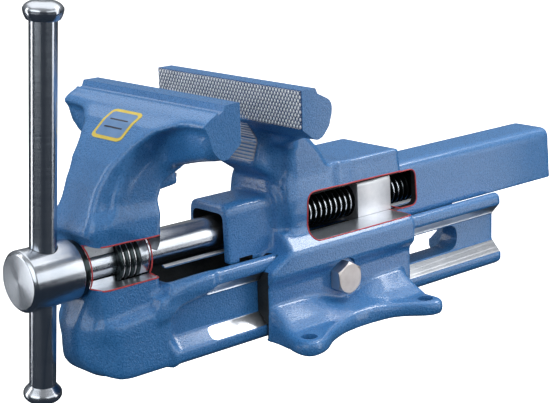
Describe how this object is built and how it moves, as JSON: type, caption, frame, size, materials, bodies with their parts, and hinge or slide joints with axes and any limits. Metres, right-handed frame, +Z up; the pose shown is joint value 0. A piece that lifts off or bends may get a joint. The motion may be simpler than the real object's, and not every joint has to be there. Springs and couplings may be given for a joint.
{
  "type": "bench vise",
  "caption": "Front-opening forged steel bench vise with a sliding front jaw on a prism rail, cutaway windows over its spring pack and nut, anvil block and sliding handle.",
  "frame": {"origin": "middle of the base, in the plane of its seat on the bench, under the spindle axis", "axes": "+X along the spindle towards the rear, +Z up; the front jaw and handle are at -X"},
  "size_m": [0.3964, 0.132, 0.2089],
  "materials": {
    "blue_paint": "medium blue hammered enamel on forged steel",
    "turned_steel": "turned and fine brushed",
    "zinc_plate": "dull zinc plate",
    "black_spring_steel": "oiled black spring steel",
    "milled_nut_steel": "fine milled, matt",
    "label_film": "printed film, matt"
  },
  "bodies": {
    "fixed_body": {"fixed_jaw_body": "blue_paint", "spindle_nut": "milled_nut_steel", "nut_dowel": "turned_steel", "guide_tie_bolt": "zinc_plate", "tie_bolt_washer": "zinc_plate", "tie_bolt_nut": "zinc_plate"},
    "front_jaw": {"moving_jaw_slide": "blue_paint", "thrust_washer": "black_spring_steel", "disc_spring_1": "black_spring_steel", "disc_spring_2": "black_spring_steel", "disc_spring_3": "black_spring_steel", "disc_spring_4": "black_spring_steel", "spring_shim_1": "turned_steel", "spring_shim_2": "turned_steel", "spring_shim_3": "turned_steel", "size_label": "label_film"},
    "spindle": {"spindle_screw": "turned_steel", "retaining_collar": "turned_steel", "collar_pin": "turned_steel"},
    "handle": {"handle_bar": "turned_steel", "handle_knob_upper": "turned_steel", "handle_knob_lower": "turned_steel"}
  },
  "joints": [
    {"name": "jaw_travel", "type": "slide", "parent": "fixed_body", "child": "front_jaw", "axis": [1, 0, 0], "range_m": [-0.0985, 0.0397]},
    {"name": "spindle_turn", "type": "hinge", "parent": "front_jaw", "child": "spindle", "pos_m": [-0.15, 0, 0.06], "axis": [1, 0, 0], "range_deg": [-8820, 3564]},
    {"name": "handle_slide", "type": "slide", "parent": "spindle", "child": "handle", "axis": [0, -0.1205, 0.9927], "range_m": [-0.1148, 0.043]}
  ],
  "couplings": [
    {"joint": "jaw_travel", "follows": "spindle_turn", "m_per_rad": 0.00063662}
  ]
}
